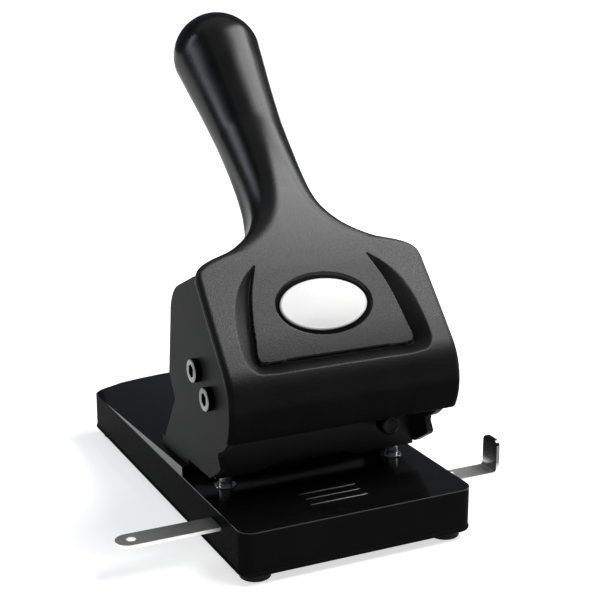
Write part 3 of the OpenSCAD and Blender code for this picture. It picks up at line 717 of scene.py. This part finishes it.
def badge_dome():
    """Rings of an oval from its middle out: a shallow dome, a rounded rim, a flat ring that takes the black
    finish and a foot in the seat."""
    turn = np.linspace(0, 2 * np.pi, 161)[:-1]
    share = np.concatenate([np.linspace(0, 0.94, 18), [0.955, 0.97, 0.982, 0.992, 1, 1, 1, 1, 1, 0]])
    beyond = np.concatenate([np.zeros(24), [1.5, 1.6, 1.6, 0]])
    height = -0.45 + 0.45 * (1 - np.minimum(share, 0.94) ** 2)
    height[18:] = [-0.40, -0.43, -0.50, -0.60, -0.75, -1.2, -1.2, -1.25, -1.45, -1.45]
    x = (share * badge_half[0] + beyond)[:, None] * np.cos(turn)
    v = badge_v + (share * badge_half[1] + beyond)[:, None] * np.sin(turn)
    spot = panel_foot + v[..., None] * up_panel + (height[:, None] - field_depth(v))[..., None] * off_panel
    return np.concatenate([x[..., None], spot], axis=-1)


badge = painted(surface("badge_plate", badge_dome(), "lever"), badge_enamel)
badge.data.materials.append(ring_black)
centres = np.zeros(len(badge.data.polygons) * 3)
badge.data.polygons.foreach_get("center", centres)
centres = centres.reshape(-1, 3) / MM - [punch_x / MM, *panel_foot]
spread = np.hypot(centres[:, 0] / badge_half[0], (centres[:, 1:] @ up_panel - badge_v) / badge_half[1])
badge.data.polygons.foreach_set("material_index", (spread > 1.005).astype(np.int32))
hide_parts("badge")

# The pin carrier is a milled steel bar behind the pivot; two ground punch pins hang from it,
# each held by a socket screw from above.
milled_steel = plated("milled_steel", (0.44, 0.44, 0.45), (0.56, 0.56, 0.57), 0.28, 0.42, 0.5, (0.06, 1, 1),
                      0.012)
painted(eased("pin_carrier", 0.4), milled_steel)
painted(eased("punch_pins", 0.15, 2), ground_steel)
painted(eased("pin_screws", 0.25, 2), zinc)

# Two compression springs stand round the pins in the block's pockets and push the carrier up:
# hard drawn wire, with the end turns closed and ground flat.
spring_wire = plated("spring_wire", (0.42, 0.42, 0.44), (0.54, 0.54, 0.56), 0.24, 0.36, 0.4, (1, 1, 1), 0.006)


def spring_coils():
    """Tube along a helix: the rise over the turns is even but for one closed turn at each end."""
    turns, wire, coil_r, foot, head = 7.5, 0.55, 4.4, 38.0, 52.0
    t = np.linspace(0, 1, 421)
    rise = np.clip((t * turns - 0.9) / (turns - 1.8), 0, 1)
    closed = 1.15 * wire * (np.clip(t * turns / 0.9, 0, 1) + np.clip((t * turns - turns + 0.9) / 0.9, 0, 1))
    height = foot + wire + closed + rise * (head - foot - 2 * wire - 2.3 * wire)
    turn = 2 * np.pi * turns * t
    round_wire = np.linspace(0, 2 * np.pi, 13)[:-1]
    thick = np.where((t == 0) | (t == 1), 0.0, wire)[:, None]
    out = coil_r + thick * np.cos(round_wire)
    low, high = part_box("punch_pins")
    pin_r = 3 * MM
    tubes = []
    for x in (low.x + pin_r, high.x - pin_r):
        tube = np.zeros((len(t), len(round_wire), 3))
        tube[..., 0] = (x - punch_x) / MM + out * np.cos(turn)[:, None]
        tube[..., 1] = (low.y + high.y) / 2 / MM + out * np.sin(turn)[:, None]
        tube[..., 2] = np.clip(height[:, None] + thick * np.sin(round_wire), foot + 0.02, head - 0.02)
        tubes.append(tube)
    return tubes


for number, tube in enumerate(spring_coils()):
    spring = painted(surface(f"return_spring_{number}", tube, None), spring_wire)
    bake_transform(spring)
    if number == 0:
        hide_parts("return_springs")

# The paper guide is a nickel plated strip that slides below the table in two clips, with a hanging
# hole in its round left end and a bent-up stop at the right; a riveted pip stops it at the skirt.
nickel = plated("satin_nickel", (0.76, 0.75, 0.72), (0.84, 0.83, 0.80), 0.36, 0.46, 0.35, (0.05, 1, 1), 0.005)
painted(eased("guide_rivet", 0.2, 3), nickel)


def nickel_with_shaded_stop():
    """Satin nickel on the bar, with fine lines along it. The bent-up stop is tinted dark grey and left
    glossier as painted shade.
    """
    material, tree, shader, place = finish("guide_nickel")
    split = tree.nodes.new("ShaderNodeSeparateXYZ")
    tree.links.new(place, split.inputs["Vector"])
    line = speckle(tree, place, 0.35, 2, (0.05, 1, 1))
    height = split.outputs["Z"]
    on_stop = between(tree, height, 0, 1, 0.0175, 0.0215)
    # Painted shade: above the bar the tint falls to dark grey on the stop.
    tint = tinted(tree, on_stop, (0.90, 0.89, 0.86), (0.15, 0.15, 0.146), 0, 1)
    tree.links.new(tint, shader.inputs["Base Color"])
    shade_by_place = tree.nodes.new("ShaderNodeMath")
    shade_by_place.operation = "SUBTRACT"
    tree.links.new(between(tree, line, 0.38, 0.48), shade_by_place.inputs[0])
    tree.links.new(between(tree, height, 0.0, 0.26, 0.0175, 0.0205), shade_by_place.inputs[1])
    tree.links.new(shade_by_place.outputs["Value"], shader.inputs["Roughness"])
    shader.inputs["Metallic"].default_value = 1
    raised(tree, shader, line, 0.004)
    return material


painted(eased("paper_guide", 0), nickel_with_shaded_stop())
painted(eased("guide_clips", 0.25, 2), zinc)

# The latch is a ground steel pin with a moulded black knob, knurled round its side. It is pushed in
# under the hood to hold the lever down.
painted(eased("lock_pin", 0.4), ground_steel)
knob_black = paint("knob_black", (0.003, 0.003, 0.0033), (0.005, 0.005, 0.0053), 0.26, 0.36, 0.6, 0.006,
                   level=0.07)


def knob_form():
    """A profile turned round the latch's axis: a rounded face with a shallow dish, a knurled side and
    a rounded back edge."""
    low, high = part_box("lock_knob")
    x, z = ((low.x + high.x) / 2 - punch_x) / MM, (low.z + high.z) / 2 / MM
    turn = np.linspace(0, 2 * np.pi, 193)[:-1]
    knurl = 0.16 * (0.5 + 0.5 * np.cos(turn * 24))
    none = 0 * turn
    radius = [none, none + 2.4, none + 3.0, none + 3.5, none + 3.95, none + 4.3, 4.5 - knurl, 4.5 - knurl,
              none + 4.2, none + 3.8, none]
    depth = [0.45, 0.3, 0.08, 0.05, 0.2, 0.6, 1.2, 6.0, 6.6, 7.0, 7.0]
    ring = np.zeros((len(radius), len(turn), 3))
    ring[..., 0] = x + np.array(radius) * np.cos(turn)
    ring[..., 1] = low.y / MM + np.array(depth)[:, None]
    ring[..., 2] = z + np.array(radius) * np.sin(turn)
    return ring


knob = painted(surface("lock_knob_turned", knob_form(), "latch"), knob_black)
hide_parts("lock_knob")

# The studio: a wide white floor that keeps the shadow and a dim grey room. A large soft light stands
# above on the right, one in front that the hood's slope mirrors, a weak one low on the right, a slim
# cool one at the left and a wide weak one overhead.
floor_mesh = bpy.data.meshes.new("studio_floor")
floor_mesh.from_pydata([(-14, -14, 0), (14, -14, 0), (14, 14, 0), (-14, 14, 0)], [], [(0, 1, 2, 3)])
floor = bpy.data.objects.new("studio_floor", floor_mesh)
bpy.context.scene.collection.objects.link(floor)
floor_white, tree, shader, place = finish("floor_white")
shader.inputs["Base Color"].default_value = (0.82, 0.82, 0.82, 1)
shader.inputs["Roughness"].default_value = 0.9
shader.inputs["Specular IOR Level"].default_value = 0.1
shader.inputs["Emission Color"].default_value = (1, 1, 1, 1)
light_path = tree.nodes.new("ShaderNodeLightPath")
seen = tree.nodes.new("ShaderNodeMath")
seen.operation = "MAXIMUM"
tree.links.new(light_path.outputs["Is Camera Ray"], seen.inputs[0])
tree.links.new(light_path.outputs["Is Glossy Ray"], seen.inputs[1])
seen_through = tree.nodes.new("ShaderNodeMath")
seen_through.operation = "MAXIMUM"
tree.links.new(seen.outputs["Value"], seen_through.inputs[0])
tree.links.new(light_path.outputs["Is Transmission Ray"], seen_through.inputs[1])
away = tree.nodes.new("ShaderNodeVectorMath")
away.operation = "LENGTH"
tree.links.new(place, away.inputs[0])
near_white = between(tree, away.outputs["Value"], 0.66, 1.0, 0.2, 0.6)
glow = tree.nodes.new("ShaderNodeMath")
glow.operation = "MULTIPLY"
tree.links.new(seen_through.outputs["Value"], glow.inputs[0])
tree.links.new(near_white, glow.inputs[1])
tree.links.new(glow.outputs["Value"], shader.inputs["Emission Strength"])
floor.data.materials.append(floor_white)

world = bpy.data.worlds.new("studio_room")
bpy.context.scene.world = world
world.use_nodes = True
world.node_tree.nodes["Background"].inputs["Color"].default_value = (0.9, 0.95, 1.0, 1)
world.node_tree.nodes["Background"].inputs["Strength"].default_value = 0.08


def soft_light(name, spot, aim, long_way, length, width, power, colour=(1, 1, 1)):
    """A rectangular soft light at spot, facing aim, with its length as near to long_way as it can be."""
    lamp = bpy.data.lights.new(name, "AREA")
    lamp.shape = "RECTANGLE"
    lamp.size, lamp.size_y = length, width
    lamp.energy = power
    lamp.color = colour
    back = (Vector(spot) - Vector(aim)).normalized()
    along = (Vector(long_way) - back * back.dot(Vector(long_way))).normalized()
    holder = bpy.data.objects.new(name, lamp)
    holder.location = spot
    holder.rotation_mode = "QUATERNION"
    holder.rotation_quaternion = Matrix((along, back.cross(along), back)).transposed().to_quaternion()
    bpy.context.scene.collection.objects.link(holder)


soft_light("key_light", (0.78, -0.10, 1.02), (0.0, -0.03, 0.13), (0.45, 0.73, -0.5), 0.95, 0.5, 9)
soft_light("front_light", (0.46, -0.47, 1.01), (0.0, -0.07, 0.10), (1, 0, 0), 0.55, 0.5, 6.6)
soft_light("right_light", (1.05, 0.10, 0.52), (0.0, -0.05, 0.11), (0, 1, 0), 0.5, 0.4, 1.4)
soft_light("cool_side_light", (-1.05, 0.40, 0.66), (0.0, 0.02, 0.15), (0, 0, 1), 0.9, 0.14, 2.6,
           (0.86, 0.92, 1.0))
soft_light("overhead_light", (0.0, 0.3, 1.9), (0.0, 0.0, 0.0), (1, 0, 0), 2.2, 1.6, 4)

camera = bpy.data.cameras.new("photo_camera")
camera.lens = 82.4
camera.sensor_width = 36
camera.sensor_fit = "HORIZONTAL"
viewer = bpy.data.objects.new("photo_camera", camera)
eye, target = Vector((-0.2380, -0.5433, 0.2535)), Vector((-0.00335, -0.0589, 0.1035))
viewer.location = eye
viewer.rotation_mode = "QUATERNION"
viewer.rotation_quaternion = (target - eye).to_track_quat("-Z", "Y")
bpy.context.scene.collection.objects.link(viewer)
bpy.context.scene.camera = viewer
bpy.context.scene.view_settings.view_transform = "Standard"
